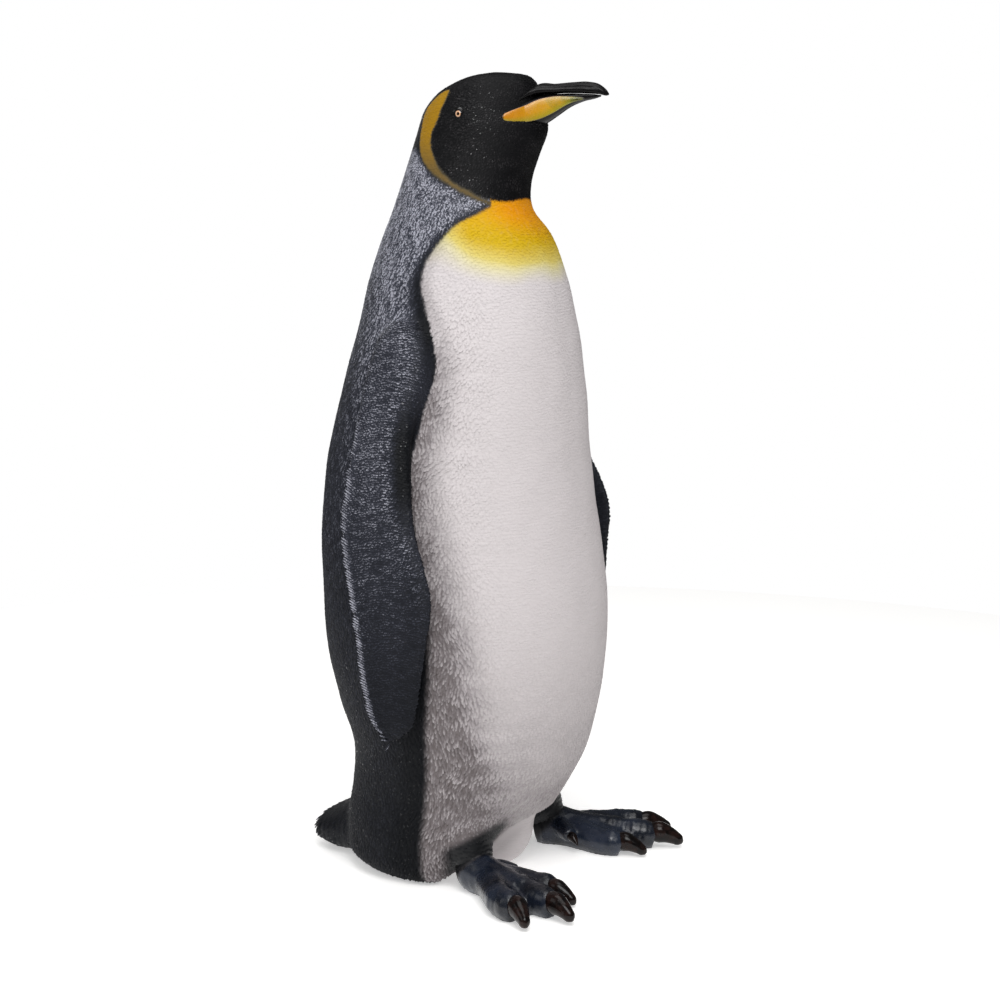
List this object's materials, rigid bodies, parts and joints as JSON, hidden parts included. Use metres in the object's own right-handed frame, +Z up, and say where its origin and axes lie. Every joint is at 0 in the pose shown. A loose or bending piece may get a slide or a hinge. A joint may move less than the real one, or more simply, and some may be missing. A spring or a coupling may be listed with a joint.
{
  "type": "life-size king penguin statue",
  "caption": "Standing king penguin statue in painted cast resin, head turned slightly, one flipper held out, resting on both feet and the tail.",
  "frame": {"origin": "middle of the whole bird's footprint box, on the floor it stands on", "axes": "+Z up through the crown, -Y the way the bird faces, +X towards its left side"},
  "size_m": [0.5334, 0.4046, 0.92],
  "materials": {
    "hood_paint": "matt black acrylic over sculpted polyresin feathers",
    "neck_paint": "matt mid grey, dry brushed over dark, on polyresin",
    "belly_paint": "satin warm white with grey shading in the relief",
    "back_paint": "satin slate black, lightly dry brushed grey",
    "bill_gloss": "gloss black lacquer",
    "plate_paint": "airbrushed orange fading to yellow green, satin lacquer",
    "eye_gloss": "painted eye under clear gloss",
    "foot_gloss": "gloss blue-black enamel over moulded scutes",
    "claw_gloss": "gloss brown-black enamel"
  },
  "bodies": {
    "root": {"head": "hood_paint", "neck": "neck_paint", "trunk": "belly_paint", "tail": "back_paint", "bill_upper": "bill_gloss", "bill_lower": "bill_gloss", "bill_plate_right": "plate_paint", "eye_right": "eye_gloss", "wing_right": "back_paint", "leg_right": "foot_gloss", "foot_right": "foot_gloss", "claw_right_middle": "claw_gloss", "claw_right_outer": "claw_gloss", "claw_right_inner": "claw_gloss", "claw_right_hallux": "claw_gloss", "bill_plate_left": "plate_paint", "eye_left": "eye_gloss", "wing_left": "back_paint", "leg_left": "foot_gloss", "foot_left": "foot_gloss", "claw_left_middle": "claw_gloss", "claw_left_outer": "claw_gloss", "claw_left_inner": "claw_gloss", "claw_left_hallux": "claw_gloss"}
  },
  "joints": []
}
